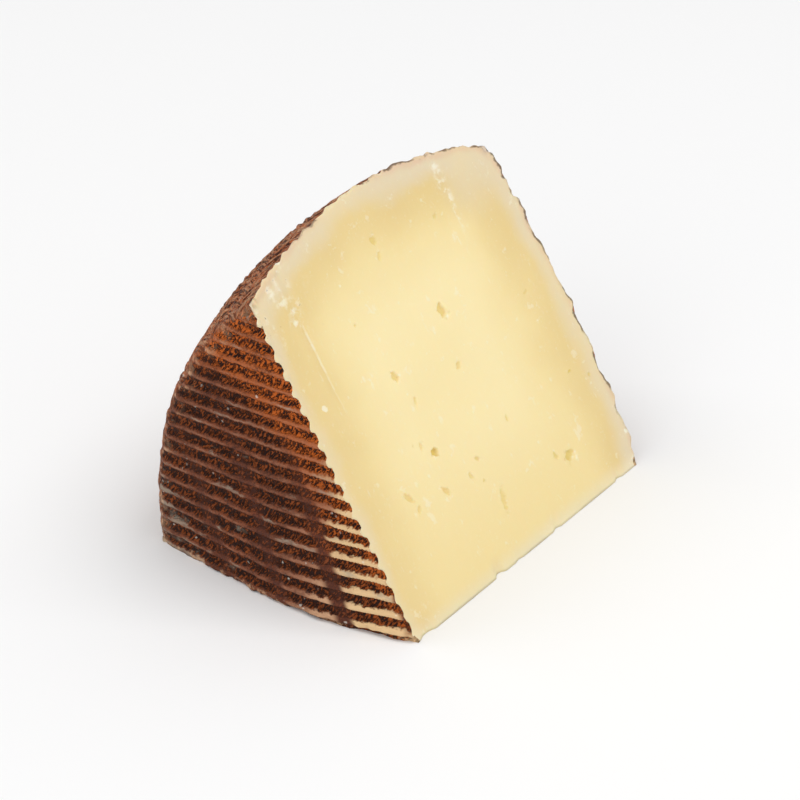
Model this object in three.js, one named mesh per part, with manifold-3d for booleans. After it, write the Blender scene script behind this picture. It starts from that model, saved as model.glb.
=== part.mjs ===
// A hand-cut wedge, about a sixth, of a small aged sheep's-milk cheese wheel. It lies on one of its
// two knife cuts, as it does on a board: the other cut slopes up from the tip edge, the wheel's two
// flat faces stand upright at the front and back, and the wheel's barrel-shaped side arches over the
// far end. The cheese is one solid piece: its rind is only its own dried and darkened skin.
//
// Millimetres. +Z is up, the wheel's axis runs along Y, and the tip edge is at the +X end. The origin
// is at the centre of the bottom of the bounding box, on the surface that the wedge lies on.
import * as THREE from "three";
import { mergeVertices } from "three/addons/utils/BufferGeometryUtils.js";
import Module from "manifold-3d";

const wasm = await Module();
wasm.setup();

// The whole wheel
const wheelHeight = 90; // between the flat faces
const faceRadius = 86; // where a flat face would meet the side, if that corner were sharp
const sideBulge = 9.3; // how far the side swells out at mid height
const rimRound = 3; // radius of the corner between a flat face and the side

// The two knife cuts. They cross at the tip edge, a little short of the wheel's axis.
const wedgeAngle = 60; // degrees between the two cuts
const axisBeyondTip = 10; // from the tip edge out to the wheel's axis, along the lower cut
const axisAboveCut = 6.6; // from the lower cut up to the wheel's axis

// Fineness of the curved faces
const turnSteps = 180; // flats round a whole wheel
const sideSteps = 18; // flats up the side
const roundSteps = 4; // flats round each rim corner

const deg = Math.PI / 180;

// Points from one angle to another on a circle in the plane of the wheel's radius and height.
function arcPoints(centre, radius, fromAngle, toAngle, steps) {
  return Array.from({ length: steps + 1 }, (_, i) => {
    const angle = fromAngle + ((toAngle - fromAngle) * i) / steps;
    return new THREE.Vector2(
      centre.x + radius * Math.cos(angle),
      centre.y + radius * Math.sin(angle),
    );
  });
}

// Half of the wheel's section: from the axis out along the lower face, up the side and back. The side
// is one arc through both sharp corners, and a rim round touches the flat face and that arc.
function wheelProfile() {
  const halfHeight = wheelHeight / 2;
  const sideRadius = (halfHeight ** 2 + sideBulge ** 2) / (2 * sideBulge);
  const sideCentre = new THREE.Vector2(faceRadius + sideBulge - sideRadius, 0);
  const roundHeight = halfHeight - rimRound;
  const roundOut = Math.sqrt((sideRadius - rimRound) ** 2 - roundHeight ** 2);
  const touchAngle = Math.atan2(roundHeight, roundOut);
  const lowerRound = new THREE.Vector2(sideCentre.x + roundOut, -roundHeight);
  const upperRound = new THREE.Vector2(sideCentre.x + roundOut, roundHeight);
  return [
    new THREE.Vector2(0, -halfHeight),
    ...arcPoints(lowerRound, rimRound, -Math.PI / 2, -touchAngle, roundSteps),
    ...arcPoints(sideCentre, sideRadius, -touchAngle, touchAngle, sideSteps).slice(1, -1),
    ...arcPoints(upperRound, rimRound, touchAngle, Math.PI / 2, roundSteps),
    new THREE.Vector2(0, halfHeight),
  ];
}

// A closed three.js geometry as a manifold-3d solid, with its shared vertices merged.
function toSolid(geometry) {
  geometry.deleteAttribute("normal");
  geometry.deleteAttribute("uv");
  const merged = mergeVertices(geometry, 1e-4);
  return new wasm.Manifold(
    new wasm.Mesh({
      numProp: 3,
      vertProperties: new Float32Array(merged.attributes.position.array),
      triVerts: new Uint32Array(merged.index.array),
    }),
  );
}

// The solid's mesh as a three.js geometry.
function toGeometry(solid) {
  const { vertProperties, triVerts } = solid.getMesh();
  const geometry = new THREE.BufferGeometry();
  geometry.setAttribute("position", new THREE.BufferAttribute(vertProperties, 3));
  geometry.setIndex(new THREE.BufferAttribute(triVerts, 1));
  return geometry;
}

// The whole wheel, turned about Y, with the tip edge's line as the origin.
function wheel() {
  const geometry = new THREE.LatheGeometry(wheelProfile(), turnSteps);
  geometry.translate(axisBeyondTip, 0, axisAboveCut);
  return toSolid(geometry);
}

// The space between the two cuts: a long triangular bar along Y that reaches past the wheel.
function spaceBetweenCuts() {
  const reach = 3 * (faceRadius + sideBulge);
  const slope = wedgeAngle * deg;
  const section = new THREE.Shape([
    new THREE.Vector2(0, 0),
    new THREE.Vector2(-reach * Math.cos(slope), reach * Math.sin(slope)),
    new THREE.Vector2(-reach, 0),
  ]);
  const length = 2 * wheelHeight;
  const geometry = new THREE.ExtrudeGeometry(section, { depth: length, bevelEnabled: false });
  geometry.rotateX(Math.PI / 2);
  geometry.translate(0, length / 2, 0);
  return toSolid(geometry);
}

// The wedge, moved so that the origin is at the centre of its bounding box's bottom.
function wedgeGeometry() {
  const geometry = toGeometry(wheel().intersect(spaceBetweenCuts()));
  geometry.computeBoundingBox();
  const { min, max } = geometry.boundingBox;
  geometry.translate(-(min.x + max.x) / 2, -(min.y + max.y) / 2, -min.z);
  geometry.computeVertexNormals();
  return geometry;
}

const cheese = new THREE.MeshStandardMaterial({ color: 0xecd9a0, roughness: 0.55, metalness: 0 });

const wedge = new THREE.Mesh(wedgeGeometry(), cheese);
wedge.name = "cheese_wedge";

const part = new THREE.Group();
part.add(wedge);

export default part;
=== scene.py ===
import math

import bpy
import numpy as np
from mathutils import Euler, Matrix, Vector, noise


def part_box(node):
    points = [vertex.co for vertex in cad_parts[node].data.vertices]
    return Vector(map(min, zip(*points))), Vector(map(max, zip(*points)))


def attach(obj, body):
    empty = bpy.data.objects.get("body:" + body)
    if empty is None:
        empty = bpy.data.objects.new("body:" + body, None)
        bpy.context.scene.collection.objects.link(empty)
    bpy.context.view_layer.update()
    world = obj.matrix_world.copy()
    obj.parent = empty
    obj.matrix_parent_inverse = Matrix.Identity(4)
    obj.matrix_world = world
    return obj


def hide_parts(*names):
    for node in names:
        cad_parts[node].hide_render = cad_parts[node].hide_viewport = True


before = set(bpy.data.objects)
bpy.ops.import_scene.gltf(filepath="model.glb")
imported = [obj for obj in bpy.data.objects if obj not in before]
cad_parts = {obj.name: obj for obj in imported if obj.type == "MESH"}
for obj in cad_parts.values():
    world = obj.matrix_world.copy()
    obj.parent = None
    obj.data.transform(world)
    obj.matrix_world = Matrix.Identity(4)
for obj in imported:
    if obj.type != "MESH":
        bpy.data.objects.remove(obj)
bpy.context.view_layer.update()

# -------------------------------------------------------------------------------------------------
# The wedge
# A hand-cut sixth of a small aged sheep's-milk wheel. The curd was pressed in a plaited grass
# mould, whose rows are printed in the rind. The rind was oiled dark, and a knife made both cuts.
# -------------------------------------------------------------------------------------------------

MM = 0.001

_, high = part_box("cheese_wedge")
TIP = high.x  # the edge where the two cuts meet, lying along Y on the floor
HALF = high.y  # half of the wheel's height
CUT_ANGLE = math.radians(60)  # from the lower cut up to the upper one
FACE_RADIUS = 86 * MM
BULGE = 9.3 * MM  # how far the side swells at mid height
AXIS_X = TIP + 10 * MM  # the wheel's axis lies just beyond the tip
AXIS_Z = 6.6 * MM
RIM_ROUND = 3 * MM

RADIAL, ALONG, TURNS = 126, 132, 138  # cells from tip to rind, along Y and between the cuts
REACH = 100 * MM  # of the plain base shape, before its points move to the rind
WELD = 0.02 * MM
TINY, TINY_TURN = 1e-6, 1e-4


def falling(distance, reach):
    """1 on the surface, easing to 0 at this depth under it."""
    left = np.clip(1 - distance / reach, 0, 1)
    return left * left * (3 - 2 * left)


def rising(value, start, end):
    """Eases from 0 to 1 between start and end, which may run either way."""
    part = np.clip((value - start) / (end - start), 0, 1)
    return part * part * (3 - 2 * part)


def lumps(places, size, seed):
    """Smooth noise from about -1 to 1 with lumps of this size."""
    shift = Vector((seed * 7.3, seed * 3.1, seed * 5.7))
    return np.array([noise.noise(Vector(p) / size + shift) for p in places])


def points(obj):
    found = np.empty(len(obj.data.vertices) * 3)
    obj.data.vertices.foreach_get("co", found)
    return found.reshape(-1, 3)


def move_points(obj, places):
    obj.data.vertices.foreach_set("co", places.ravel())
    obj.data.update()


def side_radius(y):
    """The wheel's radius at this height: one arc from rim to rim."""
    arc = (HALF**2 + BULGE**2) / (2 * BULGE)
    return FACE_RADIUS - (arc - BULGE) + np.sqrt(arc**2 - np.minimum(np.abs(y), HALF) ** 2)


def rind_distance(turn, y):
    """From the tip edge out to the side of the wheel, at this angle above the lower cut."""
    across, up = AXIS_X - TIP, AXIS_Z
    half_b = across * np.cos(turn) - up * np.sin(turn)
    return -half_b + np.sqrt(half_b**2 - across**2 - up**2 + side_radius(y) ** 2)


def cut_grid(angle):
    """A flat grid for one cut, from the tip edge outwards at this angle above the floor."""
    bpy.ops.object.select_all(action="DESELECT")
    bpy.ops.mesh.primitive_grid_add(
        x_subdivisions=RADIAL,
        y_subdivisions=ALONG,
        size=1,
        location=(TIP - REACH / 2 * math.cos(angle), 0, REACH / 2 * math.sin(angle)),
        rotation=(0, angle, 0),
    )
    grid = bpy.context.object
    grid.scale = (REACH, 2 * HALF, 1)
    bpy.ops.object.transform_apply(location=True, rotation=True, scale=True)
    return grid


# Lower cut as a grid, its front, side and back edges spun about the tip edge, then the upper cut
wedge = cut_grid(0)
wedge.name = "cheese_wedge_aged"
bpy.ops.object.mode_set(mode="EDIT")
bpy.ops.mesh.select_mode(type="EDGE")
bpy.ops.mesh.select_all(action="DESELECT")
bpy.ops.mesh.select_non_manifold()
bpy.ops.mesh.spin(steps=TURNS, angle=CUT_ANGLE, center=(TIP, 0, 0), axis=(0, -1, 0))
bpy.ops.object.mode_set(mode="OBJECT")
cut_grid(CUT_ANGLE)
wedge.select_set(True)
bpy.context.view_layer.objects.active = wedge
bpy.ops.object.join()
bpy.ops.object.mode_set(mode="EDIT")
bpy.ops.mesh.select_all(action="SELECT")
bpy.ops.mesh.remove_doubles(threshold=WELD)
bpy.ops.mesh.dissolve_degenerate(threshold=WELD / 20)
bpy.ops.mesh.normals_make_consistent(inside=False)
bpy.ops.object.mode_set(mode="OBJECT")

# Each point keeps its angle and its share of the way out, which gives the wheel's round side
place = points(wedge)
y = place[:, 1]
turn = np.arctan2(place[:, 2], TIP - place[:, 0])
share = np.hypot(place[:, 2], TIP - place[:, 0]) / REACH
edge = rind_distance(turn, y)
out = share * edge

# The corner between each flat face and the side is rounded
past_side = out - (edge - RIM_ROUND)
past_face = np.abs(y) - (HALF - RIM_ROUND)
corner = (past_side > 0) & (past_face > 0)
span = np.hypot(past_side, past_face)[corner]
out[corner] = (edge - RIM_ROUND)[corner] + past_side[corner] / span * RIM_ROUND
y[corner] = np.sign(y[corner]) * (HALF - RIM_ROUND + past_face[corner] / span * RIM_ROUND)
place[:, 0] = TIP - out * np.cos(turn)
place[:, 2] = out * np.sin(turn)

# Which skin each face belongs to
FLAT_FACES, SIDE, CUTS = 0, 1, 2
mesh = wedge.data
at_tip = share < TINY
on_upper = (turn > CUT_ANGLE - TINY_TURN) | at_tip
on_lower = (turn < TINY_TURN) | at_tip
on_face = np.abs(points(wedge)[:, 1]) > HALF - TINY
skins = []
for face in mesh.polygons:
    corners = list(face.vertices)
    if on_upper[corners].all() or on_lower[corners].all():
        skins.append(CUTS)
    elif on_face[corners].all():
        skins.append(FLAT_FACES)
    else:
        skins.append(SIDE)
skins = np.array(skins)
move_points(wedge, place)

# Imprint of the plaited mould, in two coordinates counted in ribs: along the ribs and across them
PITCH = 3.85 * MM
FIRST_RIB = 0.28
RIB_FOOT, RIB_TOP = 0.3, 0.12  # from the middle of a rib
RIB_TILT = math.radians(1.5)
BACK_TILT = math.radians(-78)


def face_weave(p):
    """Straight ribs, a little wavy, across a flat face. Each face was printed at its own turn."""
    flat = p * (1, 0, 1)
    sway = 0.22 * MM * lumps(flat, 14 * MM, 1) + 0.1 * MM * lumps(flat, 5 * MM, 2)
    tilt = np.where(p[:, 1] < 0, RIB_TILT, BACK_TILT)
    along = p[:, 0] * np.cos(tilt) + p[:, 2] * np.sin(tilt)
    across = p[:, 2] * np.cos(tilt) - p[:, 0] * np.sin(tilt) + sway
    return along / PITCH, across / PITCH - FIRST_RIB


SIDE_PITCH = 2.7 * MM
BRAID = 13 * MM  # how far a strand runs round the side before it turns back
STRAND_SWAY = 1.3  # how far it strays to and fro, in strands


def side_weave(p):
    """Strands that run round the side and sway to and fro across it, as in a plait."""
    sway = 0.3 * MM * lumps(p, 9 * MM, 3)
    round_side = np.arctan2(p[:, 2] - AXIS_Z, AXIS_X - p[:, 0]) * FACE_RADIUS
    bend = (round_side + sway + 0.8 * MM * lumps(p, 6 * MM, 19)) / BRAID
    zigzag = np.abs(bend - np.round(bend)) * 2
    return round_side / SIDE_PITCH, (p[:, 1] + sway) / SIDE_PITCH + STRAND_SWAY * zigzag, zigzag


def ridge(across):
    """1 on the crest of a rib, 0 in the groove between two."""
    return rising(np.abs(across - np.round(across)), RIB_FOOT, RIB_TOP)


PLAIT = 17.5 * MM  # how wide one plait is
FIRST_JOINT = 21 * MM
JOINT_SLANT = 0.42


def joint(p):
    """1 in the smooth joints where one plait meets the next, which cross the ribs on a slant."""
    shift = (p[:, 2] - 10 * MM) * JOINT_SLANT + 1.2 * MM * lumps(p * (1, 0, 1), 6 * MM, 4)
    lane = (p[:, 0] + shift - FIRST_JOINT) / PLAIT
    fading = 0.2 + 0.8 * rising(p[:, 2] + 6 * MM * lumps(p, 12 * MM, 21), 46 * MM, 24 * MM)
    fading *= rising(p[:, 0], -40 * MM, 0)
    return rising(np.abs(lane - np.round(lane)), 0.18, 0.07) * fading


GROOVE = 1.0 * MM
SIDE_GROOVE = 0.55 * MM
EASE = 5 * MM  # how deep under a skin its relief still moves the points
BELLY, CROWN = 4.6 * MM, 3.0 * MM

radial = place - (AXIS_X, 0, AXIS_Z)
radial[:, 1] = 0
radial /= np.linalg.norm(radial, axis=1)[:, None]
under_side = np.maximum(edge - out, 0)
under_face = HALF - np.abs(y)
off_cut = out * np.sin(CUT_ANGLE - turn)
off_floor = place[:, 2]
front = y < 0

# The front face bellies out near the floor, and the back face is crowned
way_out = np.clip(share, 0, 1)
belly = BELLY * np.sin(np.pi * way_out**0.75) ** 1.5 * falling(turn, CUT_ANGLE)
crown = CROWN * np.sin(np.pi * way_out) ** 0.8
swell = np.where(front, -belly * (0.5 - y / HALF / 2), crown * (0.5 + y / HALF / 2))

_, across = face_weave(place)
joints = joint(place)
depth = GROOVE * (1 - ridge(across)) * (1 - 0.45 * joints) + 0.25 * MM * joints
depth *= rising(under_side, -0.5 * MM, 2.5 * MM)
_, stroke, zigzag = side_weave(place)
turns_back = rising(np.minimum(zigzag, 1 - zigzag), 0.2, 0.06)
joints = np.where(on_face, joints, turns_back)
side_depth = SIDE_GROOVE * (1 - ridge(stroke) * (1 - turns_back))
side_depth *= rising(off_cut, -1 * MM, 4 * MM) * rising(under_face, 0.5 * MM, 4 * MM)
rough = lumps(place, 2.2 * MM, 5) * 0.22 * MM + lumps(place, 8 * MM, 6) * 0.35 * MM
ends = np.minimum(off_floor, np.where(front, HALF, off_cut))
torn = (lumps(place, 3.5 * MM, 15) * 0.7 + lumps(place, 1.7 * MM, 23) * 0.5) * MM
torn *= falling(ends, 3 * MM)
by_corner = rising(off_floor, 60 * MM, 69 * MM) * falling(off_cut, 4 * MM)
torn += lumps(place, 1.4 * MM, 24) * 0.9 * MM * by_corner
push = -depth + rough * 0.7 + torn
side_torn = lumps(place, 1.9 * MM, 20) * 0.7 * MM * falling(off_cut, 2.5 * MM)
side_push = -side_depth + rough + side_torn
place[:, 1] += swell + np.sign(y) * push * falling(under_face, EASE)
place += radial * (side_push * falling(under_side, EASE))[:, None]

# Both cuts are a little wavy, and the tip edge is blunt and chipped
cut_out = np.array([math.sin(CUT_ANGLE), 0, math.cos(CUT_ANGLE)])
wave = 0.45 * MM * lumps(place, 22 * MM, 7) + 0.1 * MM * lumps(place, 5 * MM, 8)
place += cut_out * (wave * falling(off_cut, EASE) * rising(out, 0, 12 * MM))[:, None]
chips = rising(lumps(place * (0, 1, 0), 6 * MM, 9), 0.2, 0.55) * 1.0 * MM
blunt = (0.5 * MM + chips) * falling(out, 6 * MM)
place[:, 0] -= blunt
move_points(wedge, place)

# Coordinates of the weave on the faces, kept as a UV map so that the finish follows the relief
weave_map = mesh.uv_layers.new(name="Weave")
face_uv = np.stack(face_weave(place), axis=1)
side_uv = np.stack(side_weave(place)[:2], axis=1)
corner_point = np.empty(len(mesh.loops), int)
mesh.loops.foreach_get("vertex_index", corner_point)
counts = np.array([len(f.vertices) for f in mesh.polygons])
corner_skin = np.repeat(skins, counts)
uv = np.where((corner_skin == SIDE)[:, None], side_uv[corner_point], face_uv[corner_point])
weave_map.data.foreach_set("uv", uv.ravel())
mesh.materials.append(None)
mesh.materials.append(None)
mesh.polygons.foreach_set("material_index", (skins == CUTS).astype(int))


def keep_marks(**marks):
    """Values kept on the points, which the finishes read."""
    for name, values in marks.items():
        mark = mesh.attributes.new(name, "FLOAT", "POINT")
        mark.data.foreach_set("value", values)


keep_marks(
    joint=joints,
    rim=np.minimum(under_side, under_face),
    side=rising(under_face, 0.5 * MM, 2.5 * MM),
)

# Eyes left by gas in the paste: place along Y and up the cut, width and length, slant in degrees,
# depth, and strength of colour. Lengths are in mm.
EYES = (
    (-2.0, 82.4, 1.9, 2.4, 10, 0.35, 0.6),
    (-2.3, 78.5, 1.1, 2.7, 25, 0.3, 0.4),
    (8.0, 59.5, 2.2, 4.2, -8, 0.65, 0.7),
    (-14.7, 53.5, 1.9, 3.2, -30, 0.6, 0.6),
    (4.9, 46.8, 1.4, 2.7, 35, 0.45, 0.5),
    (-12.3, 46.0, 0.9, 2.2, 15, 0.3, 0.4),
    (-17.0, 36.5, 1.2, 2.2, 10, 0.35, 0.4),
    (-13.8, 33.5, 2.3, 2.2, 30, 0.9, 1.0),
    (-27.3, 28.5, 1.4, 3.1, -35, 0.45, 0.5),
    (-26.0, 25.0, 1.2, 2.5, 30, 0.35, 0.4),
    (-16.0, 24.5, 1.5, 3.1, -35, 0.45, 0.5),
    (-7.0, 23.7, 1.2, 2.2, -20, 0.35, 0.4),
    (-3.0, 26.2, 1.1, 1.9, -60, 0.35, 0.5),
    (-1.0, 14.5, 1.7, 6.0, 15, 0.35, 0.45),
    (24.8, 12.9, 2.4, 3.6, 70, 0.65, 0.8),
    (20.6, 15.0, 1.0, 2.5, -15, 0.35, 0.5),
    (11.5, 29.5, 0.8, 1.8, 0, 0.3, 0.5),
    (37.0, 29.3, 0.6, 1.1, 80, 0.25, 1.0),
    (35.0, 51.5, 0.8, 1.9, 80, 0.2, 0.4),
    (-18.5, 68.5, 0.8, 1.0, 0, 0.25, 0.5),
    (19.0, 79.0, 0.9, 1.7, 70, 0.25, 0.5),
    (42.5, 25.7, 0.9, 1.1, 0, 0.25, 0.5),
    (-4.2, 21.0, 0.5, 0.9, 60, 0.2, 0.6),
    (-19.3, 37.8, 0.5, 0.7, 60, 0.2, 0.6),
)


def eye_reach(up_cut, along, eye):
    """0 in the middle of an eye, 1 at its torn rim."""
    middle_y, middle_up, width, length, slant, _, _ = eye
    lean = math.radians(slant)
    aside = along - middle_y * MM
    above = up_cut - middle_up * MM
    wide = (aside * math.cos(lean) - above * math.sin(lean)) / (width * MM / 2)
    tall = (aside * math.sin(lean) + above * math.cos(lean)) / (length * MM / 2)
    return np.hypot(wide, tall)


def way_up(places):
    """How far up the upper cut from the tip edge."""
    return (places - (TIP, 0, 0)) @ (-math.cos(CUT_ANGLE), 0, math.sin(CUT_ANGLE))


def near_eyes(places, reach):
    up_cut = way_up(places)
    return np.any([eye_reach(up_cut, places[:, 1], eye) < reach for eye in EYES], axis=0)


# The cells around each eye are made finer before it is sunk
middles = np.array([face.center for face in mesh.polygons])
upper_face = (skins == CUTS) & (middles[:, 2] > 1 * MM)
chosen = upper_face & near_eyes(middles, 1.7)
mesh.polygons.foreach_set("select", chosen)
mesh.vertices.foreach_set("select", np.zeros(len(mesh.vertices), bool))
mesh.edges.foreach_set("select", np.zeros(len(mesh.edges), bool))
bpy.context.tool_settings.mesh_select_mode = (False, False, True)
bpy.ops.object.mode_set(mode="EDIT")
bpy.ops.mesh.subdivide(number_cuts=2)
bpy.ops.object.mode_set(mode="OBJECT")
place = points(wedge)
up_cut = way_up(place)
depth_under = (place - (TIP, 0, 0)) @ cut_out
to_rind = rind_distance(np.full(len(place), CUT_ANGLE), place[:, 1]) - up_cut
on_cut = (depth_under > -2 * MM) & (np.abs(place[:, 1]) < HALF - 1.5 * MM)
on_cut &= (to_rind > 1.5 * MM) & (up_cut > 6 * MM)
ragged = 1 + 0.4 * lumps(place, 0.8 * MM, 11) + 0.25 * lumps(place, 0.4 * MM, 16)
sunk = np.zeros(len(place))
eye_tint_and_shade = np.zeros(len(place))
lip_flake_and_highlight = np.zeros(len(place))
# Inside each eye the paste is tinted yellower and darker, partly its own colour and partly painted
# shade in the hollow
for eye in EYES:
    _, _, width, _, _, sink, strength = eye
    reach = eye_reach(up_cut, place[:, 1], eye) * ragged
    sunk = np.maximum(sunk, rising(reach, 1.1, 0.55) * sink * MM)
    eye_tint_and_shade = np.maximum(eye_tint_and_shade, rising(reach, 1.15, 0.5) * strength)
    lip_flake_and_highlight = np.maximum(lip_flake_and_highlight, rising(reach, 1.6, 1.2) * rising(reach, 0.8, 1.1) * (width > 0.85))
sunk[~on_cut] = 0
eye_tint_and_shade[~on_cut] = 0

# Flaky tears where the knife dragged, near the front face and near the back of the side
SPLIT_Y, TEAR_Y = -33 * MM, 26 * MM
CORNER_Y, CORNER_UP = -37 * MM, 82 * MM
FLAKE_Y, FLAKE_UP = 26.6 * MM, 11.2 * MM
SPLIT_STEP = 0.45 * MM  # how much lower the paste lies on the front side of the split
split_line = place[:, 1] - SPLIT_Y
tear_front = falling(np.abs(split_line), 0.5 * MM + 2.4 * MM * rising(up_cut, 68 * MM, 82 * MM))
tear_front *= rising(lumps(place, 3 * MM, 22) + rising(up_cut, 66 * MM, 84 * MM) * 0.6, 0.1, 0.5)
tear_front *= rising(up_cut, 50 * MM, 58 * MM)
back_line = np.abs(place[:, 1] - TEAR_Y + 0.8 * MM * lumps(place, 4 * MM, 13))
tear_back = falling(back_line, 0.9 * MM + 1.4 * MM * rising(up_cut, 77 * MM, 84 * MM))
tear_back *= rising(up_cut, 68 * MM, 78 * MM)
crumbled = falling(np.hypot(place[:, 1] - CORNER_Y, up_cut - CORNER_UP), 14 * MM)
crumbled *= rising(lumps(place, 2.6 * MM, 17), 0.1, 0.4)
curd_flake = falling(np.hypot(place[:, 1] - FLAKE_Y, up_cut - FLAKE_UP), 1.3 * MM)
tear = np.maximum.reduce([tear_front, tear_back, crumbled, curd_flake])
# Larger eyes get a pale lip: a lifted flake, with a painted highlight in white along the rim
lip_flake_and_highlight *= rising(lumps(place, 1.3 * MM, 18), 0, 0.3)
tear = np.maximum(tear, lip_flake_and_highlight * 0.8)
flakes = lumps(place, 1.5 * MM, 14)
lift = (0.35 * MM * flakes - 0.15 * MM) * tear + 0.5 * MM * curd_flake
step = SPLIT_STEP * rising(split_line, 0.35 * MM, -0.35 * MM) * rising(up_cut, 52 * MM, 66 * MM)
lift[~on_cut] = 0
step[(~on_cut) & (depth_under < -2 * MM)] = 0
place += cut_out * (lift - sunk - np.where(on_cut, step, 0))[:, None]
move_points(wedge, place)
keep_marks(eye=eye_tint_and_shade, tear=np.where(on_cut, tear, 0))
bpy.ops.object.shade_smooth()


# Finishes
class Wire:
    """One value in a material. Sums on it add Math nodes to that material."""

    def __init__(self, maker, socket):
        self.maker = maker
        self.socket = socket

    def sum(self, operation, *others):
        return self.maker.math(operation, self, *others)

    def __add__(self, other):
        return self.sum("ADD", other)

    def __sub__(self, other):
        return self.sum("SUBTRACT", other)

    def __mul__(self, other):
        return self.sum("MULTIPLY", other)

    def __truediv__(self, other):
        return self.sum("DIVIDE", other)

    def __radd__(self, other):
        return self.maker.math("ADD", other, self)

    def __rsub__(self, other):
        return self.maker.math("SUBTRACT", other, self)

    def __rmul__(self, other):
        return self.maker.math("MULTIPLY", other, self)

    def __rtruediv__(self, other):
        return self.maker.math("DIVIDE", other, self)

    def __pow__(self, other):
        return self.sum("POWER", other)

    def __abs__(self):
        return self.sum("ABSOLUTE")


class Finish:
    """A material being made, whose nodes are added by the methods here."""

    def __init__(self, name):
        self.material = bpy.data.materials.new(name)
        self.material.use_nodes = True
        self.tree = self.material.node_tree
        self.shader = self.tree.nodes["Principled BSDF"]

    def node(self, kind, sockets=None, output=0, **settings):
        made = self.tree.nodes.new(kind)
        for name, value in settings.items():
            setattr(made, name, value)
        for name, value in (sockets or {}).items():
            self.feed(made.inputs[name], value)
        return Wire(self, made.outputs[output])

    def feed(self, socket, value):
        if isinstance(value, Wire):
            self.tree.links.new(value.socket, socket)
        else:
            socket.default_value = value

    def math(self, operation, *values):
        return self.node("ShaderNodeMath", dict(enumerate(values)), operation=operation)

    def rise(self, value, start, end):
        """Eases from 0 to 1 between start and end, which may run either way."""
        sockets = {"Value": value, "From Min": start, "From Max": end}
        return self.node("ShaderNodeMapRange", sockets, interpolation_type="SMOOTHSTEP")

    def mix(self, factor, first, second):
        sockets = {0: factor, 6: first, 7: second}
        return self.node("ShaderNodeMix", sockets, 2, data_type="RGBA")

    def noise(self, place, scale, detail=2.0, roughness=0.5, swirl=0.0):
        sockets = {"Vector": place, "Scale": scale, "Detail": detail, "Roughness": roughness}
        return self.node("ShaderNodeTexNoise", {**sockets, "Distortion": swirl})

    def vector(self, x, y, z=0.0):
        return self.node("ShaderNodeCombineXYZ", {0: x, 1: y, 2: z})

    def parts(self, vector):
        """The three coordinates of a vector."""
        first = self.node("ShaderNodeSeparateXYZ", {0: vector})
        return [Wire(self, output) for output in first.socket.node.outputs]

    def stretched(self, vector, *by):
        return self.node("ShaderNodeVectorMath", {0: vector, 1: by}, operation="MULTIPLY")

    def cells(self, place, scale):
        sockets = {"Vector": place, "Scale": scale, "Randomness": 1.0}
        return self.node("ShaderNodeTexVoronoi", sockets)

    def length(self, x, z):
        return self.math("SQRT", x**2.0 + z**2.0)

    def mark(self, name):
        """A value kept on the points."""
        return self.node("ShaderNodeAttribute", output=2, attribute_name=name)

    def set(self, **values):
        for name, value in values.items():
            self.feed(self.shader.inputs[name.replace("_", " ")], value)


def paint(red, green, blue):
    """A colour as picked on a screen, from 0 to 255, in the linear values that the nodes use."""
    return (*((part / 255) ** 2.2 for part in (red, green, blue)), 1)


# Rind: grass-printed skin, oiled dark brown in the grooves and deepened there with painted shade,
# and rubbed paler on the ribs with a painted highlight on their crests
rind = Finish("aged_rind")
here = rind.node("ShaderNodeTexCoord", output=3)
at_x, at_y, at_z = rind.parts(here)
along, across_ribs, _ = rind.parts(rind.node("ShaderNodeUVMap", uv_map="Weave"))
joints_at = rind.mark("joint")
round_side = rind.mark("side")

fine = rind.noise(here, 1100, 3, 0.65)
ragged_edge = rind.noise(here, 600, 2, 0.6)
patches = rind.noise(here, 90, 3, 0.55)
broad = rind.noise(here, 30, 2, 0.5)

wobble = across_ribs + (ragged_edge - 0.5) * 0.34 + (fine - 0.5) * 0.16
off_rib = abs(wobble - rind.math("ROUND", wobble))
near_tip = rind.rise(at_x - at_z * 0.35, -6 * MM, 30 * MM)
crest_line = off_rib + (patches - 0.5) * 0.14 + (ragged_edge - 0.5) * 0.1 - near_tip * 0.07
crest = rind.rise(crest_line, 0.17, 0.06) * (1 - joints_at)
rough_top = rind.rise(at_z + (patches - 0.5) * (50 * MM), 60 * MM, 68 * MM)
groove = rind.math("MAXIMUM", rind.rise(off_rib - near_tip * 0.03, 0.14, 0.22), rough_top * 0.75)

# Short slanted strands of the grass plait across each groove, with dark pits between them
strand = rind.vector(along * 6.6 - across_ribs * 2.8 + (patches - 0.5) * 3.0, across_ribs * 3.8)
strands = rind.noise(strand, 1.0, 3, 0.6, 0.9)
streaks = rind.noise(rind.vector(along * 0.8, across_ribs * 3.8), 1.0, 3, 0.7, 0.3)

UMBER = paint(46, 21, 10)
CHESTNUT = paint(144, 75, 37)
EMBER = paint(206, 104, 42)
COCOA = paint(106, 62, 44)
RUSSET = paint(140, 76, 48)
TAWNY = paint(190, 98, 44)
PLUM = paint(84, 46, 34)
LIT_COPPER = paint(206, 114, 68)
FAWN = paint(164, 112, 86)
SAND = paint(208, 162, 126)
CREAM = paint(236, 198, 148)
ASH = paint(172, 160, 142)
GLINT_WHITE = paint(240, 232, 220)

# Warmer and redder near the upper cut, high up and on the side: the rind's own colour, brightened
# there as painted light
CUT_LEAN = 0.577  # how far the upper cut runs back for each step up
near_cut = rind.rise(at_x + at_z * CUT_LEAN + (patches - 0.5) * (20 * MM), 16 * MM, 43 * MM)
high_up = rind.rise(at_z + (broad - 0.5) * (30 * MM), 40 * MM, 66 * MM)
warmth = near_cut * (1 - near_tip * 0.25) + high_up + round_side * 0.6 + (broad - 0.5) * 1.1
warm = rind.rise(warmth, 0.35, 1.15)
grains = strands + (fine - 0.5) * 0.35 + warm * 0.03 + near_tip * near_cut * 0.03
grain = rind.rise(grains, 0.46, 0.59)
dark = rind.mix(grain, UMBER, rind.mix(warm, CHESTNUT, EMBER))
crumb = rind.noise(here, 2300, 2, 0.6)
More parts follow.
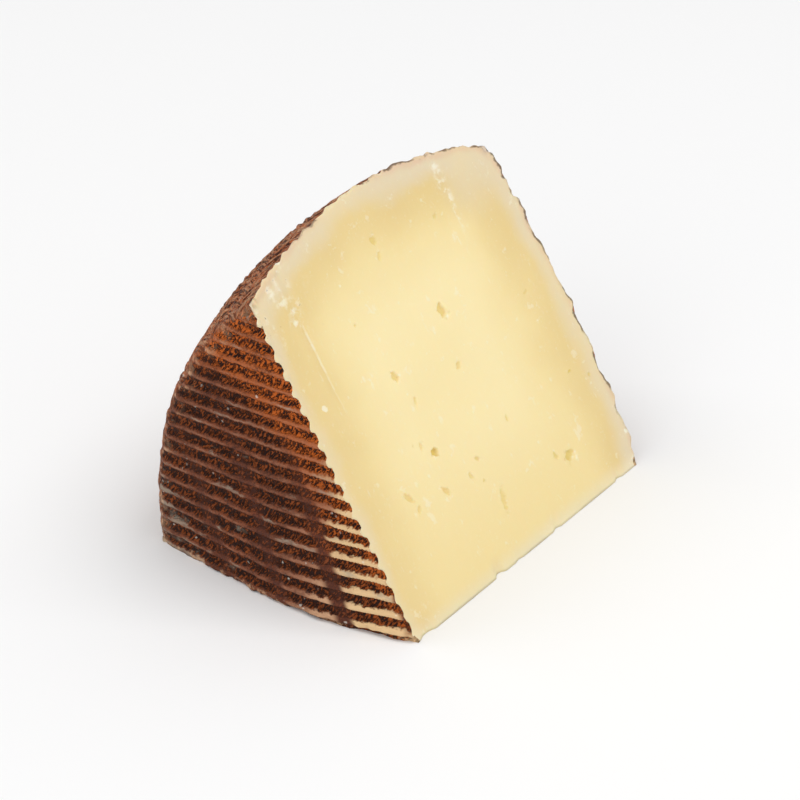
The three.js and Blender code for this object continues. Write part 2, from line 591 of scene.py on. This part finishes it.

# Skin of the ribs and joints, smooth but for tiny crumbs, and the dark grooves between, oiled dark
# and darkened further as painted shade
smooth_skin = rind.mix(rind.rise(patches + (crumb - 0.5) * 0.9, 0.25, 0.75), COCOA, RUSSET)
smooth_skin = rind.mix(warm, smooth_skin, TAWNY)
pits = rind.rise(crumb + (fine - 0.5) * 0.6, 0.48, 0.34)
smooth_skin = rind.mix(pits * 0.65, smooth_skin, UMBER)
smooth_skin = rind.mix((1 - grain) * 0.22, smooth_skin, UMBER)
smooth_skin = rind.mix(joints_at * (1 - round_side) * (0.9 - grain * 0.5), smooth_skin, PLUM)
# Grooves get the dark grained colour: the oiled rind's own brown plus painted shade
base = rind.mix(groove * (1 - joints_at * 0.6), smooth_skin, dark)

# Rib crests rubbed pale, most of all near the tip edge, and lightened further as a painted
# highlight along each crest
paler = rind.rise(near_tip + round_side * 0.6 + (patches - 0.5) * 0.8, 0.3, 0.75)
pale = rind.mix(paler, FAWN, SAND)
pale = rind.mix(warm * (1 - near_tip) * (1 - round_side) * 0.5, pale, TAWNY)
pale = rind.mix(rind.rise(near_tip * near_cut + (patches - 0.5) * 0.6, 0.15, 0.5), pale, CREAM)
rub_and_highlight = near_tip * 0.55 + round_side * 0.6 + near_cut * 0.25
rub_and_highlight = rub_and_highlight + patches * 0.8 + (broad - 0.5) * 0.6 + (ragged_edge - 0.5) * 0.7
rubbed_and_highlight = crest * rind.rise(rub_and_highlight, 0.2, 0.85)
base = rind.mix(rubbed_and_highlight, base, pale)

# Dark and pale strands on the side, the side lightened with painted light, grey mould low down,
# worn rims, painted glints and frayed ends
# Copper over the whole side: its own warm colour, made brighter as painted light because it faces
# away from the lamps
base = rind.mix(round_side * 0.75, base, LIT_COPPER)
base = rind.mix(round_side * rind.rise(streaks, 0.51, 0.44) * 0.9, base, UMBER)
base = rind.mix(round_side * rind.rise(streaks, 0.54, 0.59) * 0.85, base, SAND)
low_left = rind.rise(at_x + at_z * 0.8, 0.0, -25 * MM)
bloom = rind.noise(rind.vector(at_x * 90, at_y * 90, at_z * 260), 1.0, 4, 0.65)
mould = rind.rise(bloom + low_left * 0.16 + crest * 0.1, 0.65, 0.8)
base = rind.mix(mould * 0.6, base, ASH)
from_axis = rind.length(at_x - AXIS_X, at_z - AXIS_Z)
rim_worn = rind.rise(from_axis, FACE_RADIUS - 5 * MM, FACE_RADIUS) * (1 - round_side * 0.6)
worn = rim_worn * rind.rise(rind.noise(here, 300, 2, 0.6), 0.5, 0.6) * (0.45 + crest * 0.5)
base = rind.mix(worn, base, SAND)
# Painted glints: tiny white specks in scattered patches
painted_glint = rind.rise(rind.cells(here, 520.0) + (fine - 0.5) * 0.5, 0.24, 0.1)
painted_glint = painted_glint * rind.rise(rind.noise(here, 260, 2), 0.6, 0.68)
base = rind.mix(painted_glint * 0.65, base, GLINT_WHITE)
frayed = rind.rise(at_z + (ragged_edge - 0.5) * 4 * MM, 1.4 * MM, 0.4 * MM)
base = rind.mix(frayed * rind.rise(rind.noise(here, 420, 3, 0.7), 0.5, 0.58) * 0.75, base, SAND)
from_tip = rind.length(at_x - TIP, at_z)
tip_end = rind.rise(from_tip + (ragged_edge - 0.5) * 5 * MM, 4.5 * MM, 2 * MM)
base = rind.mix(tip_end * 0.8, base, CREAM)
rough_skin = rind.math("MULTIPLY_ADD", grain, 0.2, 0.48)
height = crest * 0.25 + grain * groove * 0.5 + fine * 0.3 + crumb * 0.15
height = height + round_side * streaks * 1.5
bump = rind.node("ShaderNodeBump", {"Height": height, "Strength": 1.0, "Distance": 0.8 * MM})
rind.set(Base_Color=base, Roughness=rough_skin, Normal=bump, Specular_IOR_Level=0.18)

# Paste: pale ivory yellow, drier and greyer under the rind, smooth and a little waxy as cut
paste = Finish("aged_paste")
here = paste.node("ShaderNodeTexCoord", output=3)
at_x, at_y, at_z = paste.parts(here)
from_axis = paste.length(at_x - AXIS_X, at_z - AXIS_Z)
from_tip = paste.length(at_x - TIP, at_z)
to_face = HALF + 1.5 * MM - abs(at_y)
to_side = FACE_RADIUS + BULGE - (at_y / HALF) ** 2.0 * BULGE - from_axis
soft_noise = paste.noise(here, 70, 2, 0.5)
cloud = paste.noise(here, 28, 2, 0.5)
fine = paste.noise(here, 900, 3, 0.6)
under = paste.math("SMOOTH_MIN", to_face, to_side, 12 * MM)
under = under + (soft_noise - 0.5) * 7 * MM + (cloud - 0.5) * 9 * MM

HEART = paint(254, 233, 178)
MIDDLE = paint(245, 222, 160)
TAN = paint(232, 205, 142)
DRY = paint(229, 212, 178)
TIP_DRY = paint(242, 228, 196)
SKIN = paint(224, 192, 162)
GOLD = paint(229, 202, 108)
WHITE = paint(254, 250, 230)
STAIN = paint(92, 70, 52)
SPECK = paint(134, 98, 62)

# Bands from the heart out to the dry skin under the rind
heart = paste.rise(under, 11 * MM, 30 * MM) * paste.rise(from_tip, 4 * MM, 38 * MM)
base = paste.mix(heart, MIDDLE, HEART)
base = paste.mix(paste.rise(under, 19 * MM, 6 * MM), base, TAN)
base = paste.mix(paste.rise(under, 7.5 * MM, 2.5 * MM), base, DRY)
back_corner = paste.rise(at_z, 60 * MM, 72 * MM) * paste.rise(at_y, 22 * MM, 34 * MM)
base = paste.mix(back_corner * 0.8, base, DRY)
base = paste.mix(paste.rise(under, 2.2 * MM, 0.3 * MM) * 0.75, base, SKIN)
base = paste.mix(paste.rise(from_tip, 5 * MM, 0.5 * MM) * 0.7, base, TIP_DRY)
base = paste.mix(paste.rise(cloud, 0.35, 0.7) * 0.35, base, MIDDLE)
base = paste.mix(paste.rise(fine, 0.55, 0.8) * 0.14, base, WHITE)

# White flecks, a stained rim, brown specks by the front corner, yellower eyes with painted shade
# in them, and pale tears with a painted highlight on the eye lips
smears = paste.noise(paste.stretched(here, 170.0, 330.0, 170.0), 1.0, 3, 0.65)
curd = paste.noise(here, 240, 3, 0.7)
flecks = paste.rise(smears, 0.65, 0.77) * 0.5 + paste.rise(curd, 0.62, 0.7) * 0.4
base = paste.mix(flecks * 0.7, base, WHITE)
stain = paste.rise(paste.mark("rim") + (fine - 0.5) * 0.9 * MM, 0.75 * MM, 0.25 * MM)
stain = stain * paste.rise(paste.noise(here, 150, 3, 0.6), 0.44, 0.54)
stain = stain * paste.rise(at_z, 6 * MM, 20 * MM) * paste.rise(at_y, -30 * MM, -12 * MM)
base = paste.mix(stain * 0.85, base, STAIN)
front_corner = paste.rise(at_y, -24 * MM, -36 * MM) * paste.rise(at_z, 60 * MM, 70 * MM)
specks = front_corner * paste.rise(paste.noise(here, 560, 2), 0.69, 0.73)
base = paste.mix(specks * 0.8, base, SPECK)
base = paste.mix(paste.mark("eye") * 0.9, base, GOLD)
# Pale flaked tears, and the painted highlight on the eye lips
flaked_and_highlight = paste.mark("tear") * paste.rise(paste.noise(here, 500, 3, 0.6), 0.45, 0.65)
base = paste.mix(flaked_and_highlight * 0.7, base, WHITE)

# The split, with painted shade on its low side and a painted highlight along its edge
past_split = at_y - SPLIT_Y + 0.1 * MM + (curd - 0.5) * 0.5 * MM
along_split = paste.rise(at_z, 45 * MM, 52 * MM) * paste.rise(at_z, 71 * MM, 63 * MM)
split_shade = paste.rise(past_split, -2.8 * MM, 0) * paste.rise(past_split, 0.1 * MM, 0)
base = paste.mix(along_split * split_shade * 0.5, base, TAN)
split_highlight = paste.rise(abs(past_split - 0.15 * MM), 0.3 * MM, 0.1 * MM)
split_highlight = split_highlight * paste.rise(smears, 0.4, 0.6)
base = paste.mix(along_split * split_highlight * 0.38, base, WHITE)

# Gritty white crystals, and the faint drag of the knife
crystal = paste.rise(paste.cells(here, 150.0) + (fine - 0.5) * 0.3, 0.14, 0.07)
crystal = crystal * paste.rise(paste.noise(here, 110, 1), 0.54, 0.62)
base = paste.mix(crystal * 0.6, base, WHITE)
gloss = paste.math("MULTIPLY_ADD", soft_noise, 0.2, 0.36)
drag = paste.noise(paste.stretched(here, 60.0, 900.0, 60.0), 1.0, 2)
height = fine * 0.12 + drag * 0.2 + soft_noise * 0.5 + flecks * 0.4
bump = paste.node("ShaderNodeBump", {"Height": height, "Strength": 0.45, "Distance": 0.5 * MM})
paste.set(Base_Color=base, Roughness=gloss, Normal=bump, Specular_IOR_Level=0.4)
paste.set(Subsurface_Weight=0.25, Subsurface_Scale=3 * MM)
paste.shader.inputs["Subsurface Radius"].default_value = (1.0, 0.7, 0.35)

for slot, finish in enumerate((rind, paste)):
    mesh.materials[slot] = finish.material

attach(wedge, "root")
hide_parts("cheese_wedge")

# -------------------------------------------------------------------------------------------------
# Floor, lamps and camera
# A plain pale table in a softly lit room, seen from the front right, a little above.
# -------------------------------------------------------------------------------------------------

bpy.ops.object.select_all(action="DESELECT")
bpy.ops.mesh.primitive_plane_add(size=6)
floor = bpy.context.object
floor.name = "pale_floor"
top = Finish("pale_floor")
top.set(Base_Color=(0.92, 0.92, 0.92, 1), Roughness=0.9)
floor.data.materials.append(top.material)


def lamp(name, azimuth, elevation, distance, size, power):
    """A square soft light that looks at the wedge from this direction."""
    turn = Euler((math.radians(90 - elevation), 0, math.radians(azimuth + 90)))
    away = Vector((0, 0, distance))
    away.rotate(turn)
    bpy.ops.object.light_add(type="AREA", location=away + Vector((0, 0, 40 * MM)), rotation=turn)
    light = bpy.context.object
    light.name = name
    light.data.size = size
    light.data.energy = power


lamp("main_light", 20, 62, 1.1, 0.6, 4.2)
lamp("front_light", -80, 35, 1.2, 0.8, 1.6)
lamp("left_light", -160, 50, 1.2, 0.5, 2.6)
ROOM_LIGHT = 0.62
world = bpy.data.worlds.new("room")
world.use_nodes = True
background = world.node_tree.nodes["Background"]
background.inputs["Color"].default_value = (1, 1, 1, 1)
background.inputs["Strength"].default_value = ROOM_LIGHT
bpy.context.scene.world = world

VIEW_TURN, VIEW_RISE, VIEW_ROLL = math.radians(-51.7), math.radians(31.8), math.radians(2.7)
VIEW_PLACE = Vector((448.8, -561.4, 472.4)) * MM
LENS, SENSOR = 162, 36
look = Euler((math.pi / 2 - VIEW_RISE, 0, math.pi / 2 + VIEW_TURN)).to_matrix()
roll = Euler((0, 0, -VIEW_ROLL)).to_matrix()
camera_data = bpy.data.cameras.new("camera")
camera = bpy.data.objects.new("camera", camera_data)
bpy.context.collection.objects.link(camera)
camera.matrix_world = (look @ roll).to_4x4()
camera.location = VIEW_PLACE
camera_data.lens = LENS
camera_data.sensor_width = SENSOR
bpy.context.scene.camera = camera
bpy.context.scene.view_settings.view_transform = "Standard"
